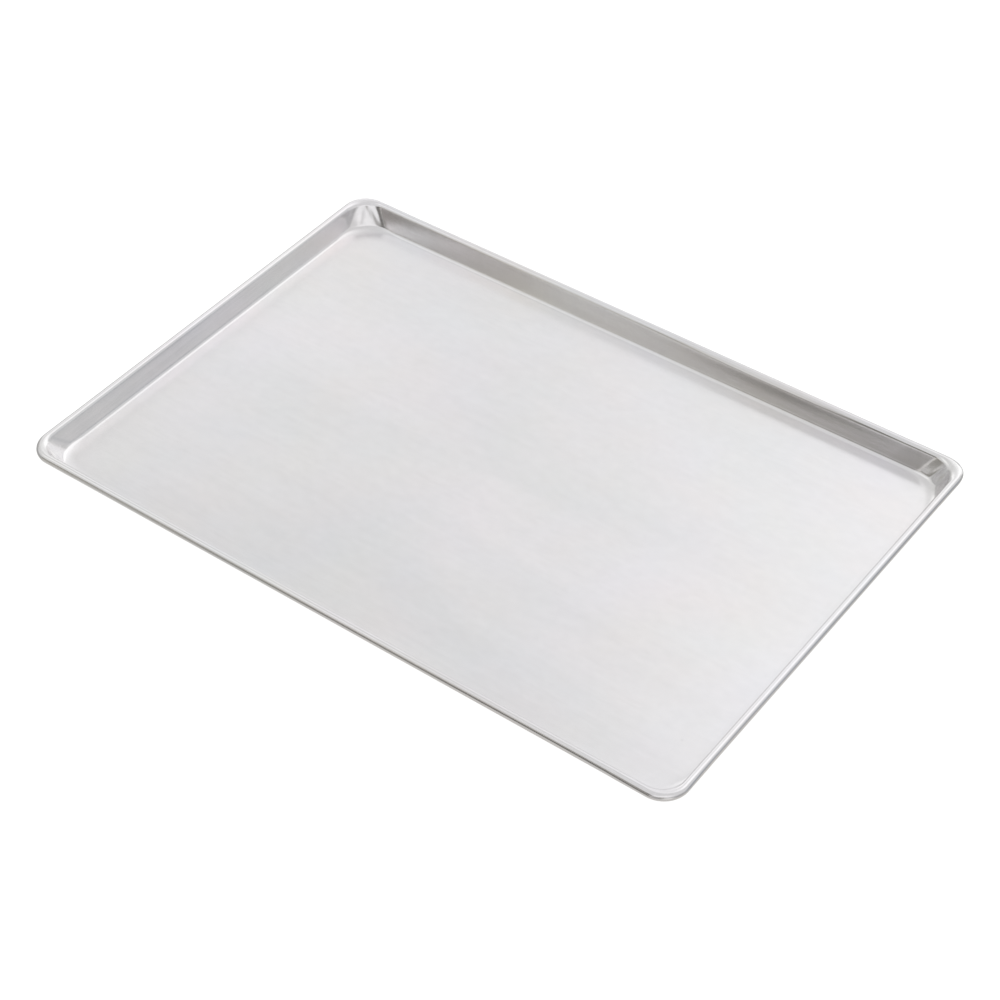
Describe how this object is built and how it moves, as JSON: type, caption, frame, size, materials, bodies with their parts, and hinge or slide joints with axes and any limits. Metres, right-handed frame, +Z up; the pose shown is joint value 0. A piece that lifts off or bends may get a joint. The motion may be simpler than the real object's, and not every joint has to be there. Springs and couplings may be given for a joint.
{
  "type": "baking sheet pan",
  "caption": "Shallow rectangular baking tray pressed from aluminium sheet, with leaning walls, rounded corners and a rim rolled over a steel wire.",
  "frame": {"origin": "middle of the underside of the floor, where the pan stands", "axes": "+X along the long side, +Y along the short side, +Z up out of the open tray"},
  "size_m": [0.65, 0.45, 0.022],
  "materials": {
    "pan_aluminium": "satin rolled sheet",
    "rim_steel": "galvanised"
  },
  "bodies": {
    "root": {"pan_sheet": "pan_aluminium", "rim_wire": "rim_steel"}
  },
  "joints": []
}
